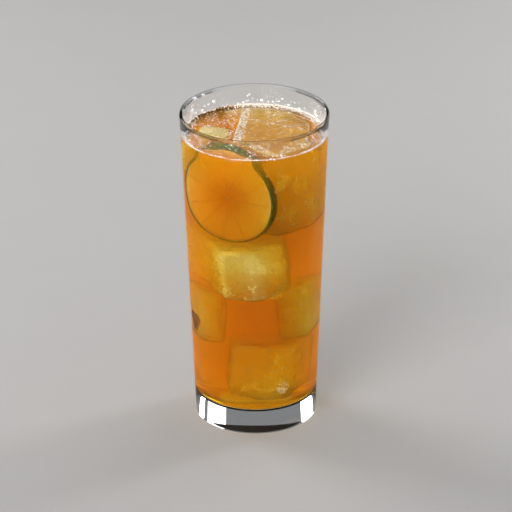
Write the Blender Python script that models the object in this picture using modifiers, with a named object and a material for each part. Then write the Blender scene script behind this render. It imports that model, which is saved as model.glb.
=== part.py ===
"""Hibiscus rum punch in a tall tumbler, with a lime wheel and ice.

The glass stands on its foot at the origin, +Z up. The front of the drink faces -Y:
the lime wheel leans against the front left of the wall, behind it lies a block of ice
that breaks the surface at the back right. Metres throughout.
"""

import math

import bpy

# Glass: a tall straight tumbler that widens towards the rim, with a thick foot.
GLASS_HEIGHT = 0.1540
RIM_RADIUS = 0.0350
FOOT_RADIUS = 0.0286
WALL = 0.0015
FOOT_THICKNESS = 0.0108
FOOT_EDGE_RADIUS = 0.0012
FLOOR_FILLET = 0.0060
FILLET_STEPS = 5
LIP_STEPS = 4
TURN_STEPS = 64

# Gap between solids that touch in the real thing.
GAP = 0.0003

# Drink: fills the glass to just under the rim.
FREEBOARD = 0.0110
LEVEL = GLASS_HEIGHT - FREEBOARD

# Lime wheel: an upright slice whose two sides rest against the wall, and which leans as the wall does.
LIME_RADIUS = 0.0228
LIME_THICKNESS = 0.0040
LIME_BULGE = 0.00035
LIME_TURN = math.radians(31.0)
LIME_LEAN = math.atan((RIM_RADIUS - FOOT_RADIUS) / GLASS_HEIGHT)
LIME_OFF_AXIS = 0.0200
LIME_PROUD = 0.0001
LIME_RIM_STEPS = 4
LIME_TURN_STEPS = 48

# Ice block: its corners seen from above, front left first and counter-clockwise.
ICE_CORNERS = (
    (-0.0112, -0.0112),
    (0.0100, -0.0255),
    (0.0265, -0.0110),
    (0.0270, 0.0120),
    (0.0110, 0.0275),
    (-0.0065, 0.0288),
)
ICE_HEIGHT = 0.0430
ICE_PROUD = 0.0017
ICE_EDGE_RADIUS = 0.0030
ICE_EDGE_SEGMENTS = 3

MERGE_DISTANCE = 0.00001


def outer_radius(height):
    """Returns the glass's outer radius at a height."""
    return FOOT_RADIUS + (RIM_RADIUS - FOOT_RADIUS) * height / GLASS_HEIGHT


def inner_radius(height):
    """Returns the glass's inner radius at a height."""
    return outer_radius(height) - WALL


def arc(centre_x, centre_z, radius, start, end, steps):
    """Returns points (x, z) along an arc from the start angle to the end angle."""
    points = []
    for step in range(steps + 1):
        angle = start + (end - start) * step / steps
        points.append((centre_x + radius * math.cos(angle), centre_z + radius * math.sin(angle)))
    return points


def cavity_floor(inset):
    """Returns the points of the cavity's floor and its rounded corner, from the axis outwards.

    The inset moves them inwards from the glass, for what fills the cavity.
    """
    floor = FOOT_THICKNESS + inset
    fillet = FLOOR_FILLET - inset
    wall_x = inner_radius(FOOT_THICKNESS + FLOOR_FILLET) - inset
    corner = arc(wall_x - fillet, floor + fillet, fillet, -math.pi / 2, 0.0, FILLET_STEPS)
    return [(0.0, floor)] + corner


def glass_profile():
    """Returns the glass's section: floor, inner wall, lip, outer wall and foot."""
    lip_radius = WALL / 2
    lip_z = GLASS_HEIGHT - lip_radius
    lip = arc(outer_radius(lip_z) - lip_radius, lip_z, lip_radius, math.pi, 0.0, LIP_STEPS)
    foot_edge = arc(
        outer_radius(FOOT_EDGE_RADIUS) - FOOT_EDGE_RADIUS,
        FOOT_EDGE_RADIUS,
        FOOT_EDGE_RADIUS,
        0.0,
        -math.pi / 2,
        LIP_STEPS,
    )
    return cavity_floor(0.0) + lip + foot_edge + [(0.0, 0.0)]


def punch_profile():
    """Returns the drink's section, from the middle of its surface down to the floor."""
    surface = [(0.0, LEVEL), (inner_radius(LEVEL) - GAP, LEVEL)]
    return surface + list(reversed(cavity_floor(GAP)))


def lime_profile(grow):
    """Returns the lime wheel's section, made larger all round by the given amount."""
    half = LIME_THICKNESS / 2 + grow
    face_radius = LIME_RADIUS - LIME_BULGE + grow
    rim = []
    for step in range(LIME_RIM_STEPS + 1):
        share = 1 - 2 * step / LIME_RIM_STEPS
        rim.append((face_radius + LIME_BULGE * (1 - share * share), half * share))
    return [(0.0, half)] + rim + [(0.0, -half)]


def make_collection(name):
    """Adds a collection to the scene and returns it."""
    collection = bpy.data.collections.new(name)
    bpy.context.scene.collection.children.link(collection)
    return collection


def make_material(name, colour, roughness, alpha):
    """Returns a Principled material with the part's colour, roughness and opacity."""
    material = bpy.data.materials.new(name)
    material.use_nodes = True
    shader = material.node_tree.nodes["Principled BSDF"]
    shader.inputs["Base Color"].default_value = (*colour, 1.0)
    shader.inputs["Roughness"].default_value = roughness
    shader.inputs["Metallic"].default_value = 0.0
    shader.inputs["Alpha"].default_value = alpha
    material.diffuse_color = (*colour, alpha)
    return material


def turned(name, profile, steps, collection, material):
    """Returns an object turned about its own Z axis from a profile of (x, z) points."""
    mesh = bpy.data.meshes.new(name)
    vertices = [(x, 0.0, z) for x, z in profile]
    edges = [(index, index + 1) for index in range(len(profile) - 1)]
    mesh.from_pydata(vertices, edges, [])
    mesh.materials.append(material)
    item = bpy.data.objects.new(name, mesh)
    collection.objects.link(item)
    screw = item.modifiers.new("Turn", "SCREW")
    screw.steps = steps
    screw.render_steps = steps
    screw.use_merge_vertices = True
    screw.merge_threshold = MERGE_DISTANCE
    return item


def as_cutter(item):
    """Marks an object as a cutter, which isn't part of the drink."""
    item.hide_render = True
    item.display_type = "WIRE"
    return item


def cut(item, cutter):
    """Takes the cutter's shape out of an object."""
    boolean = item.modifiers.new("Cut for " + cutter.name, "BOOLEAN")
    boolean.operation = "DIFFERENCE"
    boolean.solver = "EXACT"
    boolean.object = cutter


def make_lime(name, grow, collection, material):
    """Returns the upright lime wheel, turned to the front left and leaning with the wall."""
    lime = turned(name, lime_profile(grow), LIME_TURN_STEPS, collection, material)
    lime.rotation_euler = (math.pi / 2 + LIME_LEAN, 0.0, -LIME_TURN)
    lime.location = (
        -LIME_OFF_AXIS * math.sin(LIME_TURN),
        -LIME_OFF_AXIS * math.cos(LIME_TURN),
        LEVEL + LIME_PROUD - LIME_RADIUS,
    )
    return lime


def make_ice(name, grow, collection, material):
    """Returns the ice block, an uneven six-sided piece with melted edges, grown by the given amount."""
    top = LEVEL + ICE_PROUD
    mesh = bpy.data.meshes.new(name)
    outline = [(x, y, top) for x, y in ICE_CORNERS]
    mesh.from_pydata(outline, [], [range(len(outline))])
    mesh.materials.append(material)
    ice = bpy.data.objects.new(name, mesh)
    collection.objects.link(ice)
    body = ice.modifiers.new("Height", "SOLIDIFY")
    body.thickness = ICE_HEIGHT
    body.offset = -1.0
    bevel = ice.modifiers.new("Melted edges", "BEVEL")
    bevel.width = ICE_EDGE_RADIUS
    bevel.segments = ICE_EDGE_SEGMENTS
    if grow:
        swell = ice.modifiers.new("Clearance", "DISPLACE")
        swell.mid_level = 0.0
        swell.strength = grow
    return ice


def shade(item):
    """Shades the round faces smooth."""
    item.data.shade_smooth()


def main():
    """Builds the glass, the drink, the lime wheel and the ice block."""
    for item in list(bpy.data.objects):
        bpy.data.objects.remove(item, do_unlink=True)

    parts = make_collection("hibiscus_rum_punch")
    cutters = make_collection("cutters")

    clear_glass = make_material("clear_glass", (0.93, 0.95, 0.96), 0.03, 0.30)
    amber_punch = make_material("amber_punch", (0.74, 0.38, 0.05), 0.05, 0.85)
    lime_slice = make_material("lime_slice", (0.42, 0.50, 0.10), 0.40, 1.0)
    clear_ice = make_material("clear_ice", (0.80, 0.85, 0.86), 0.10, 0.60)

    glass = turned("glass", glass_profile(), TURN_STEPS, parts, clear_glass)
    punch = turned("punch", punch_profile(), TURN_STEPS, parts, amber_punch)
    lime = make_lime("lime_wheel", 0.0, parts, lime_slice)
    ice = make_ice("ice_block", 0.0, parts, clear_ice)

    cut(punch, as_cutter(make_lime("lime_space", GAP, cutters, lime_slice)))
    cut(punch, as_cutter(make_ice("ice_space", GAP, cutters, clear_ice)))

    for item in (glass, punch, lime, ice):
        shade(item)


main()
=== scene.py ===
"""Looks of the hibiscus rum punch: tumbler, amber punch, lime wheel, ice, bubbles and studio.

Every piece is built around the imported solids, in metres, with +Z up and the front at -Y.
"""

from __future__ import annotations

import logging
import math
import random
from collections.abc import Callable
from dataclasses import dataclass, field
from enum import Enum

import bmesh
import bpy
from mathutils import Euler, Matrix, Vector, noise

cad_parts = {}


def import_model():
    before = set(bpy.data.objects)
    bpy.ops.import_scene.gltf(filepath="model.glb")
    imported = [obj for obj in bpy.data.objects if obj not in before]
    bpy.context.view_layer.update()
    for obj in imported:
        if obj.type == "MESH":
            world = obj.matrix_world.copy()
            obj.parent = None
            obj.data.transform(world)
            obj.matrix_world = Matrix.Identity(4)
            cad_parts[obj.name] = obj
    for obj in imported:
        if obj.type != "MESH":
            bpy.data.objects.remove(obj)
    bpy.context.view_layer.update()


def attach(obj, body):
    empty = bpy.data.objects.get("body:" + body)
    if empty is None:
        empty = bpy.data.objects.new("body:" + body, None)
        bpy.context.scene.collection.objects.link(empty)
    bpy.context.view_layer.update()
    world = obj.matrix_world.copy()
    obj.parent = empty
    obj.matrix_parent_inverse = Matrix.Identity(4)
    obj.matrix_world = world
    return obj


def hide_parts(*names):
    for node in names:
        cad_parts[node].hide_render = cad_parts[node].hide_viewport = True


LOG = logging.getLogger("punch")
BODY = "root"
ON_AXIS = 1e-7
# Blender seeds its vector noise by the clock, so one seed is set to give the same bubbles each run.
NOISE_SEED = 1796054945
Colour = tuple[float, float, float]
Pair = tuple[float, float]
Triple = tuple[float, float, float]


class Fleck(Enum):
    """Kinds of small round thing that are scattered in number, by how finely one is faceted."""

    BUBBLE = 1
    DROP = 2


# Node helpers


def wired(tree: bpy.types.NodeTree, kind: str, **values: object) -> bpy.types.Node:
    """Adds a node to a tree, and sets or links its inputs.

    Args:
        tree: Where the node goes.
        kind: The node's type.
        values: Input values by socket name with _ for a space, or node properties.

    Returns:
        The new node.
    """
    node = tree.nodes.new(kind)
    for key, value in values.items():
        socket = node.inputs.get(key.replace("_", " "))
        if socket is None:
            setattr(node, key, value)
        elif isinstance(value, bpy.types.NodeSocket):
            tree.links.new(value, socket)
        elif socket.type == "RGBA":
            socket.default_value = (*value, 1.0)
        else:
            socket.default_value = value
    return node


def worked_out(
    tree: bpy.types.NodeTree,
    operation: str,
    first: bpy.types.NodeSocket,
    second: bpy.types.NodeSocket | float,
) -> bpy.types.NodeSocket:
    """Adds a sum of two values.

    Args:
        tree: Where the sum goes.
        operation: What is done.
        first: The first value.
        second: The second value, linked or plain.

    Returns:
        The result's socket.
    """
    node = wired(tree, "ShaderNodeMath", operation=operation)
    for socket, value in zip(node.inputs, (first, second)):
        if isinstance(value, float):
            socket.default_value = value
        else:
            tree.links.new(value, socket)
    return node.outputs[0]


def set_stops(ramp: bpy.types.Node, stops: list[tuple[float, Colour]]) -> None:
    """Gives a colour ramp its stops, each a place and a colour, lowest first."""
    elements = ramp.color_ramp.elements
    while len(elements) < len(stops):
        elements.new(0.5)
    for element, (place, colour) in zip(elements, stops):
        element.position = place
        element.color = (*colour, 1.0)


@dataclass
class Nodes:
    """A material under construction, with short ways to add and join its nodes."""

    name: str
    material: bpy.types.Material = field(init=False)

    def __post_init__(self) -> None:
        """Starts an empty material with its output node."""
        self.material = bpy.data.materials.new(self.name)
        self.material.use_nodes = True
        self.tree.nodes.clear()
        self.output = self.tree.nodes.new("ShaderNodeOutputMaterial")

    @property
    def tree(self) -> bpy.types.NodeTree:
        """The material's node tree."""
        return self.material.node_tree

    def add(self, kind: str, **values: object) -> bpy.types.Node:
        """Adds a shader node, whose type is given without the words ShaderNode."""
        return wired(self.tree, "ShaderNode" + kind, **values)

    def join(self, start: bpy.types.NodeSocket, end: bpy.types.NodeSocket) -> None:
        """Links two sockets."""
        self.tree.links.new(start, end)

    def place(self) -> bpy.types.NodeSocket:
        """Returns the object coordinates, in metres."""
        return self.add("TexCoord").outputs["Object"]

    def kept(self, name: str) -> bpy.types.NodeSocket:
        """Returns a value that the mesh keeps for each point."""
        return self.add("Attribute", attribute_name=name).outputs["Fac"]

    def speckle(
        self,
        scale: float,
        detail: float = 3.0,
        rough: float = 0.5,
        vector: bpy.types.NodeSocket | None = None,
    ) -> bpy.types.NodeSocket:
        """Returns a noise over the object's own coordinates.

        Args:
            scale: How many lumps there are in a metre.
            detail: Octaves of finer noise.
            rough: Strength of the finer octaves.
            vector: What the noise runs over instead of the object's coordinates.

        Returns:
            The noise's factor socket.
        """
        over = vector or self.place()
        made = self.add("TexNoise", Vector=over, Scale=scale, Detail=detail, Roughness=rough)
        return made.outputs["Fac"]

    def ramp(
        self, factor: bpy.types.NodeSocket, stops: list[tuple[float, Colour]]
    ) -> bpy.types.NodeSocket:
        """Returns a colour ramp's output.

        Args:
            factor: What runs along the ramp.
            stops: Place and colour of each stop, lowest first.

        Returns:
            The ramp's colour socket.
        """
        node = self.add("ValToRGB", Fac=factor)
        set_stops(node, stops)
        return node.outputs["Color"]

    def stretch(self, factor: bpy.types.NodeSocket, source: Pair, target: Pair) -> bpy.types.NodeSocket:
        """Returns a value mapped from one range to another, held at the ends."""
        low, high = source
        start, end = target
        node = self.add("MapRange", Value=factor, From_Min=low, From_Max=high, To_Min=start, To_Max=end)
        return node.outputs["Result"]

    def math(
        self, operation: str, first: bpy.types.NodeSocket, second: bpy.types.NodeSocket | float
    ) -> bpy.types.NodeSocket:
        """Returns what a sum makes of two values."""
        return worked_out(self.tree, operation, first, second)

    def height(self) -> bpy.types.NodeSocket:
        """Returns the height above the foot."""
        return self.add("SeparateXYZ", Vector=self.place()).outputs["Z"]

    def dull_below(self, level: float) -> bpy.types.NodeSocket:
        """Returns the dull share of a skin that only mirrors above the drink's surface."""
        return self.math("LESS_THAN", self.height(), level)

    def blend(
        self, share: bpy.types.NodeSocket | float, first: bpy.types.Node, second: bpy.types.Node
    ) -> bpy.types.Node:
        """Returns a mix of two shaders, with the given share of the second."""
        mix = self.add("MixShader", Fac=share)
        self.join(first.outputs[0], mix.inputs[1])
        self.join(second.outputs[0], mix.inputs[2])
        return mix

    def bump(
        self, height: bpy.types.NodeSocket, strength: float, distance: float
    ) -> bpy.types.NodeSocket:
        """Returns a bumped normal from a height."""
        node = self.add("Bump", Strength=strength, Distance=distance, Height=height)
        return node.outputs["Normal"]

    def clear(self, shader: bpy.types.Node, tint: Colour) -> bpy.types.Node:
        """Sends a clear shader to the output and lets the lamps' rays pass through it, tinted."""
        path = self.add("LightPath")
        passing = self.add("BsdfTransparent", Color=tint)
        mix = self.blend(path.outputs["Is Shadow Ray"], shader, passing)
        self.join(mix.outputs[0], self.output.inputs["Surface"])
        return mix

    def show(self, shader: bpy.types.Node) -> None:
        """Sends a shader that lets no light through to the output."""
        self.join(shader.outputs[0], self.output.inputs["Surface"])

    def bending(
        self,
        tint: Colour,
        ior: float,
        rough: bpy.types.NodeSocket | float,
        normal: bpy.types.NodeSocket,
        dull: bpy.types.NodeSocket,
    ) -> bpy.types.Node:
        """Returns a clear shader that bends light everywhere and mirrors it where it isn't dull.

        Args:
            tint: Its colour.
            ior: How much it bends light.
            rough: Its roughness.
            normal: Its uneven normal.
            dull: The share that doesn't mirror, as where a liquid wets it.

        Returns:
            The mix of the two shaders.
        """
        finish = {"Roughness": rough, "IOR": ior, "Normal": normal}
        bright = self.add("BsdfPrincipled", Base_Color=tint, Transmission_Weight=1.0, **finish)
        bent = self.add("BsdfRefraction", Color=tint, **finish)
        return self.blend(dull, bright, bent)

    def glowing(
        self, colour: bpy.types.NodeSocket, clearness: float, glow: float, **more: object
    ) -> bpy.types.Node:
        """Returns a wet shader through which light glows.

        Args:
            colour: Its colour.
            clearness: The share that light passes straight.
            glow: The share of light that comes through scattered.
            more: Other inputs of the wet shader.

        Returns:
            The mix of the two shaders.
        """
        wet = self.add(
            "BsdfPrincipled", Base_Color=colour, IOR=1.02, Transmission_Weight=clearness, **more
        )
        return self.blend(glow, wet, self.add("BsdfTranslucent", Color=colour))

    def fill(
        self,
        surface: bpy.types.Node,
        absorbed: tuple[Colour, float],
        haze: tuple[Colour, float],
    ) -> None:
        """Fills the inside with a colour that deepens, and for the renderer alone with haze too.

        Args:
            surface: The shader of the surface.
            absorbed: Colour and density of what deepens with depth.
            haze: Colour and density of what scatters light.
        """
        depth = self.add("VolumeAbsorption", Color=absorbed[0], Density=absorbed[1])
        self.join(depth.outputs[0], self.output.inputs["Volume"])
        cloud = self.add("VolumeScatter", Color=haze[0], Density=haze[1], Anisotropy=0.3)
        both = self.add("AddShader")
        self.join(depth.outputs[0], both.inputs[0])
        self.join(cloud.outputs[0], both.inputs[1])
        output = self.add("OutputMaterial", target="CYCLES")
        self.join(surface.outputs[0], output.inputs["Surface"])
        self.join(both.outputs[0], output.inputs["Volume"])


# Finishes


@dataclass(frozen=True)
class TumblerGlass:
    """Clear soda glass with a polished face."""

    foot_middle: float
    taper: float
    wet_from: float
    wet_to: float
    lip_from: float
    lip_clear: float = 0.6
    soft: float = 0.75
    tint: Colour = (0.985, 0.992, 0.99)
    shadow: Colour = (0.97, 0.98, 0.98)
    ior: float = 1.5

    def dull(self, nodes: Nodes) -> bpy.types.NodeSocket:
        """Returns the dull share: all where the drink wets the wall, and part of the outside over it."""
        parts = nodes.add("SeparateXYZ", Vector=nodes.place())
        flat = nodes.add("CombineXYZ", X=parts.outputs["X"], Y=parts.outputs["Y"])
        radius = nodes.add("VectorMath", operation="LENGTH", Vector=flat.outputs[0]).outputs["Value"]
        height = parts.outputs["Z"]
        middle = nodes.math("ADD", nodes.math("MULTIPLY", height, self.taper), self.foot_middle)
        grazing = nodes.add("LayerWeight", Blend=0.5).outputs["Facing"]
        outside = nodes.stretch(grazing, (0.80, 0.97), (self.soft, 0.0))
        inside = nodes.math("MAXIMUM", nodes.math("LESS_THAN", radius, middle), outside)
        above = nodes.math("GREATER_THAN", height, self.wet_from)
        below = nodes.math("LESS_THAN", height, self.wet_to)
        return nodes.math("MULTIPLY", inside, nodes.math("MULTIPLY", above, below))

    def make(self) -> bpy.types.Material:
        """Returns the glass's material."""
        nodes = Nodes("tumbler_glass")
        uneven = nodes.bump(nodes.speckle(55.0, 1.0), 0.06, 0.0006)
        wall = nodes.bending(self.tint, self.ior, 0.0, uneven, self.dull(nodes))
        lip_ends = (self.lip_from, self.lip_from + 0.0005)
        lip = nodes.stretch(nodes.height(), lip_ends, (0.0, self.lip_clear))
        through = nodes.add("BsdfTransparent", Color=self.tint)
        nodes.clear(nodes.blend(lip, wall, through), self.shadow)
        return nodes.material


@dataclass(frozen=True)
class AmberPunch:
    """Cloudy amber liquid that deepens with depth and ripples a little on top."""

    level: float
    tint: Colour = (1.0, 1.0, 1.0)
    shadow: Colour = (0.98, 0.98, 0.98)
    absorbed: Colour = (0.984, 0.822, 0.02)
    density: float = 225.0
    haze: Colour = (1.0, 0.54, 0.02)
    haze_density: float = 50.0
    ior: float = 1.34

    def make(self) -> bpy.types.Material:
        """Returns the punch's material."""
        nodes = Nodes("amber_liquid")
        ripples = nodes.bump(nodes.speckle(260.0, 2.0), 0.12, 0.0004)
        dull = nodes.dull_below(self.level - 0.0004)
        surface = nodes.clear(nodes.bending(self.tint, self.ior, 0.0, ripples, dull), self.shadow)
        nodes.fill(surface, (self.absorbed, self.density), (self.haze, self.haze_density))
        return nodes.material


@dataclass(frozen=True)
class MeltingIce:
    """Clear wet ice, milky inside and stained by the punch, with white edges that are partly frost,
    partly painted highlight.
    """

    name: str
    level: float
    milk_density: float
    stain_density: float
    milk: Colour = (1.0, 0.97, 0.88)
    tint: Colour = (0.98, 0.985, 0.985)
    shadow: Colour = (0.96, 0.96, 0.96)
    # White for frost and for painted highlight where the ice's edges catch the light.
    frost_and_highlight: Colour = (0.96, 0.95, 0.92)
    stain: Colour = (0.975, 0.80, 0.10)
    ior: float = 1.325

    def make(self) -> bpy.types.Material:
        """Returns the ice's material."""
        nodes = Nodes(self.name)
        swirl = nodes.add("TexNoise", Vector=nodes.place(), Scale=230.0, Detail=3.0, Distortion=1.6)
        uneven = nodes.bump(swirl.outputs["Fac"], 0.55, 0.0008)
        matt = nodes.stretch(nodes.speckle(150.0, 4.0, 0.6), (0.45, 0.7), (0.02, 0.25))
        clear = nodes.bending(self.tint, self.ior, matt, uneven, nodes.dull_below(self.level))
        strokes = nodes.speckle(950.0, 5.0, 0.75)
        rough = nodes.bump(strokes, 1.0, 0.0008)
        # Painted highlight: this white finish stands partly for frost and partly for light caught by the
        # ice's edges.
        white = nodes.add("BsdfPrincipled", Base_Color=self.frost_and_highlight, Roughness=0.25, Normal=rough)
        grain = nodes.stretch(strokes, (0.46, 0.58), (0.0, 1.0))
        share = nodes.math("MULTIPLY", nodes.kept("frost_and_highlight"), grain)
        surface = nodes.clear(nodes.blend(share, clear, white), self.shadow)
        nodes.fill(surface, (self.stain, self.stain_density), (self.milk, self.milk_density))
        return nodes.material


@dataclass(frozen=True)
class LimeFlesh:
    """Juicy flesh of a lime, soaked in punch, through which light glows."""

    pale: Colour = (1.0, 0.93, 0.42)
    deep: Colour = (1.0, 0.82, 0.26)
    # Painted shade: the darker colour that the flesh turns to towards the middle.
    core: Colour = (0.85, 0.52, 0.12)
    shadow: Colour = (0.95, 0.84, 0.55)
    clearness: float = 0.72
    glow: float = 0.22

    def make(self) -> bpy.types.Material:
        """Returns the flesh's material, with juice sacs drawn out from the core, darkened towards the
        middle as painted shade.
        """
        nodes = Nodes("lime_flesh")
        along = nodes.add("CombineXYZ", X=nodes.kept("out"), Y=nodes.kept("around"))
        sacs = nodes.speckle(1.0, 3.0, 0.6, along.outputs[0])
        body = nodes.ramp(sacs, [(0.34, self.deep), (0.62, self.pale)])
        # Painted shade: the flesh darkens to the core colour towards the middle of the wheel.
        middle = nodes.stretch(nodes.kept("reach"), (0.0018, 0.0120), (1.0, 0.0))
        colour = nodes.add("Mix", data_type="RGBA", Factor=middle)
        nodes.join(body, colour.inputs[6])
        colour.inputs[7].default_value = (*self.core, 1.0)
        uneven = nodes.bump(sacs, 0.35, 0.0004)
        wet = nodes.glowing(
            colour.outputs[2], self.clearness, self.glow, Roughness=0.30, Normal=uneven
        )
        nodes.clear(wet, self.shadow)
        return nodes.material


@dataclass(frozen=True)
class LimePith:
    """Thin pith and membranes of a lime, soaked in punch."""

    light: Colour = (1.0, 0.90, 0.50)
    dark: Colour = (0.95, 0.76, 0.32)
    shadow: Colour = (0.93, 0.80, 0.50)
    clearness: float = 0.6
    glow: float = 0.35

    def make(self) -> bpy.types.Material:
        """Returns the pith's material."""
        nodes = Nodes("lime_pith")
        colour = nodes.ramp(nodes.speckle(700.0, 2.0), [(0.3, self.dark), (0.7, self.light)])
        wet = nodes.glowing(colour, self.clearness, self.glow, Roughness=0.35)
        nodes.clear(wet, self.shadow)
        return nodes.material


@dataclass(frozen=True)
class LimePeel:
    """Dark green peel with fine oil pores."""

    light: Colour = (0.13, 0.20, 0.015)
    dark: Colour = (0.005, 0.012, 0.001)

    def make(self) -> bpy.types.Material:
        """Returns the peel's material."""
        nodes = Nodes("lime_peel")
        patches = nodes.speckle(1500.0, 3.0)
        pores = nodes.add("TexVoronoi", Vector=nodes.place(), Scale=1300.0).outputs["Distance"]
        shader = nodes.add(
            "BsdfPrincipled",
            Base_Color=nodes.ramp(patches, [(0.42, self.dark), (0.64, self.light)]),
            Roughness=0.32,
            Specular_IOR_Level=0.15,
            Normal=nodes.bump(pores, 0.8, 0.0005),
        )
        nodes.show(shader)
        return nodes.material


@dataclass(frozen=True)
class ThinFilm:
    """Skin of bubbles and drops, which catch the light."""

    name: str
    tint: Colour
    shine: float

    def make(self) -> bpy.types.Material:
        """Returns the film's material."""
        nodes = Nodes(self.name)
        shader = nodes.add(
            "BsdfPrincipled",
            Base_Color=self.tint,
            Roughness=nodes.stretch(nodes.speckle(500.0, 1.0), (0.3, 0.7), (0.02, 0.12)),
            IOR=1.33,
            Transmission_Weight=self.shine,
        )
        nodes.clear(shader, (0.96, 0.96, 0.96))
        return nodes.material


@dataclass(frozen=True)
class DarkSliverFinish:
    """Dark brown wet finish with fine streaks."""

    light: Colour = (0.24, 0.080, 0.010)
    dark: Colour = (0.06, 0.018, 0.004)

    def make(self) -> bpy.types.Material:
        """Returns the sliver's material."""
        nodes = Nodes("wall_sliver")
        streaks = nodes.speckle(900.0, 4.0, 0.7)
        shader = nodes.add(
            "BsdfPrincipled",
            Base_Color=nodes.ramp(streaks, [(0.35, self.dark), (0.65, self.light)]),
            Roughness=0.35,
            Specular_IOR_Level=0.15,
            Normal=nodes.bump(streaks, 0.4, 0.0003),
        )
        nodes.show(shader)
        return nodes.material


@dataclass(frozen=True)
class StudioFloor:
    """Pale, matt studio paper."""

    colour: Colour = (0.40, 0.396, 0.392)

    def make(self) -> bpy.types.Material:
        """Returns the floor's material."""
        nodes = Nodes("studio_floor")
        darker = tuple(0.985 * part for part in self.colour)
        shader = nodes.add(
            "BsdfPrincipled",
            Base_Color=nodes.ramp(nodes.speckle(35.0, 4.0), [(0.3, darker), (0.7, self.colour)]),
            Roughness=0.6,
            Specular_IOR_Level=0.3,
        )
        nodes.show(shader)
        return nodes.material


# Mesh helpers


def linked(name: str, mesh: bpy.types.Mesh) -> bpy.types.Object:
    """Returns a new object of a mesh, linked to the scene."""
    item = bpy.data.objects.new(name, mesh)
    bpy.context.scene.collection.objects.link(item)
    return item


def finished(name: str, shape: bmesh.types.BMesh, material: bpy.types.Material) -> bpy.types.Object:
    """Turns a closed shape into a smooth object whose faces point outwards.

    Args:
        name: The piece's name.
        shape: The shape, which is freed.
        material: Its finish.

    Returns:
        The new object, linked to the scene.
    """
    if shape.calc_volume(signed=True) < 0:
        bmesh.ops.reverse_faces(shape, faces=shape.faces)
    mesh = bpy.data.meshes.new(name)
    shape.to_mesh(mesh)
    shape.free()
    mesh.shade_smooth()
    mesh.materials.append(material)
    return linked(name, mesh)


def settled(item: bpy.types.Object, material: bpy.types.Material) -> None:
    """Makes what an object's modifiers give its plain mesh, and takes the modifiers off."""
    bpy.context.view_layer.update()
    graph = bpy.context.evaluated_depsgraph_get()
    mesh = bpy.data.meshes.new_from_object(item.evaluated_get(graph))
    item.modifiers.clear()
    item.data = mesh
    mesh.name = item.name
    mesh.materials.clear()
    mesh.materials.append(material)
    mesh.shade_smooth()


def circle(radius: float, steps: int) -> list[Pair]:
    """Returns evenly spaced points round the axis."""
    angles = (2 * math.pi * step / steps for step in range(steps))
    return [(radius * math.cos(angle), radius * math.sin(angle)) for angle in angles]


def turned(profile: list[Pair], steps: int) -> bmesh.types.BMesh:
    """Returns a closed turned shape.

    Args:
        profile: Points (radius, height), the first and last on the axis.
        steps: How many sides the turn has.

    Returns:
        The shape, with its poles closed.
    """
    shape = bmesh.new()
    rings = []
    for radius, height in profile:
        if radius < ON_AXIS:
            rings.append([shape.verts.new((0.0, 0.0, height))])
            continue
        rings.append([shape.verts.new((x, y, height)) for x, y in circle(radius, steps)])
    for upper, lower in zip(rings, rings[1:]):
        for step in range(steps):
            following = (step + 1) % steps
            corners = [upper[step % len(upper)], lower[step % len(lower)]]
            if len(lower) > 1:
                corners.append(lower[following])
            if len(upper) > 1:
                corners.append(upper[following])
            shape.faces.new(corners)
    return shape


def skinned(shape: bmesh.types.BMesh, rings: list[list[bmesh.types.BMVert]]) -> None:
    """Adds the faces between closed rings of points, each ring joined to the next."""
    for first, second in zip(rings, rings[1:]):
        for step in range(len(first)):
            after = (step + 1) % len(first)
            shape.faces.new((first[step], second[step], second[after], first[after]))


def arc(centre: Pair, radius: float, start: float, end: float, steps: int) -> list[Pair]:
    """Returns points along an arc.

    Args:
        centre: The arc's middle.
        radius: Its radius.
        start: The angle of the first point.
        end: The angle of the last point.
        steps: How many steps lie between them.

    Returns:
        The points, with both ends.
    """
    points = []
    for step in range(steps + 1):
        angle = start + (end - start) * step / steps
        points.append((centre[0] + radius * math.cos(angle), centre[1] + radius * math.sin(angle)))
    return points


def between(start: Pair, end: Pair, steps: int) -> list[Pair]:
    """Returns evenly spaced points between two points, without the two themselves."""
    return [
        (
            start[0] + (end[0] - start[0]) * step / steps,
            start[1] + (end[1] - start[1]) * step / steps,
        )
        for step in range(1, steps)
    ]


def rise(low: float, high: float, value: float) -> float:
    """Returns 0 at low, 1 at high and a smooth rise between."""
    share = min(max((value - low) / (high - low), 0.0), 1.0)
    return share * share * (3 - 2 * share)


def fall(low: float, high: float, value: float) -> float:
    """Returns 1 at low, 0 at high and a smooth fall between."""
    return 1 - rise(low, high, value)


def off_line(place: Vector, start: Pair, end: Pair) -> float:
    """Returns how far a place lies from a straight line, seen from above.

    Args:
        place: The place.
        start: Where the line starts.
        end: Where it ends.

    Returns:
        The distance to the line's nearest point.
    """
    first, last = Vector(start), Vector(end)
    along = last - first
    share = min(max((place.xy - first).dot(along) / along.length_squared, 0.0), 1.0)
    return (place.xy - first - along * share).length


def off_outline(place: Vector, corners: tuple[Pair, ...]) -> float:
    """Returns how far a place lies from a closed outline, seen from above."""
    return min(off_line(place, corners[i - 1], corners[i]) for i in range(len(corners)))


# Glass


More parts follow.
